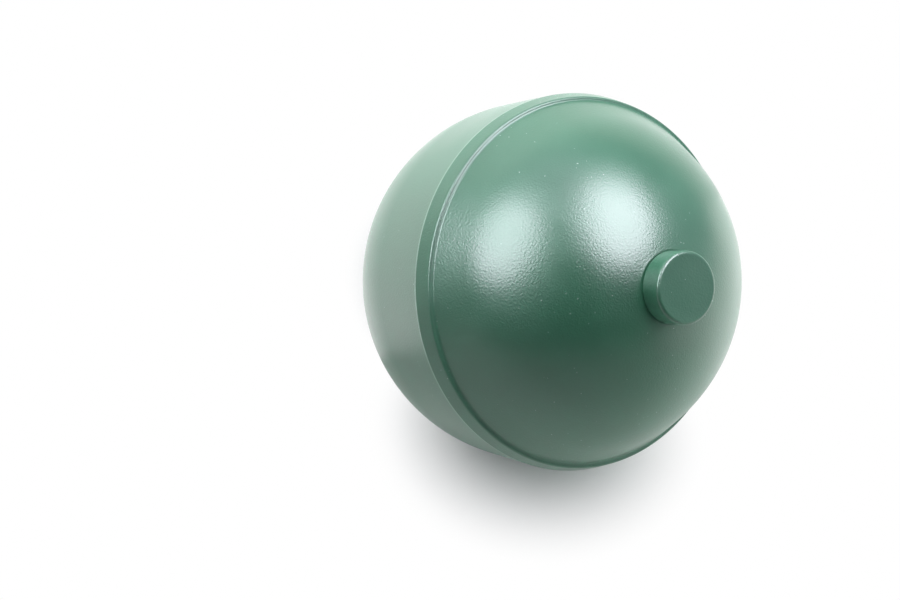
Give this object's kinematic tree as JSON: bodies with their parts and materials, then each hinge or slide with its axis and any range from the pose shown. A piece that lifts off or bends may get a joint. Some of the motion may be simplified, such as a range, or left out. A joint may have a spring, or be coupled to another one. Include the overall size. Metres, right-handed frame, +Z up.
{
  "type": "diaphragm accumulator",
  "caption": "Spherical steel diaphragm accumulator in green enamel, with a conical shoulder at the joint, a plain gas plug on top and a threaded neck that houses a damper valve.",
  "frame": {"origin": "centre of the neck's end face, on which the part stands", "axes": "+Z up the axis of revolution from the neck to the gas plug; X and Y are free, with the first compression port on +X"},
  "size_m": [0.106, 0.106, 0.1307],
  "materials": {
    "enamel": "semi-gloss green enamel with slight orange peel",
    "nitrile": "matt moulded rubber",
    "turned_steel": "turned",
    "spring_steel": "rolled and blued",
    "plated_steel": "yellow zinc plating"
  },
  "bodies": {
    "shell": {"lower_shell": "enamel", "upper_shell": "enamel", "joint_weld": "enamel", "fill_plug": "enamel", "diaphragm": "nitrile", "clamp_ring": "turned_steel", "damper_body": "turned_steel", "damper_bolt": "plated_steel", "damper_nut": "plated_steel", "compression_shim_1": "spring_steel", "compression_shim_2": "spring_steel", "compression_shim_3": "spring_steel", "compression_spacer": "turned_steel", "compression_stop": "turned_steel", "rebound_shim_1": "spring_steel", "rebound_shim_2": "spring_steel", "rebound_shim_3": "spring_steel", "rebound_spacer": "turned_steel", "rebound_stop": "turned_steel"},
    "button": {"diaphragm_button": "plated_steel"}
  },
  "joints": [
    {"name": "button_lift", "type": "slide", "parent": "shell", "child": "button", "axis": [0, 0, 1], "range_m": [0, 0.055], "stiffness_N_per_m": 40, "springref_m": -0.02, "deforming": ["diaphragm"]}
  ]
}
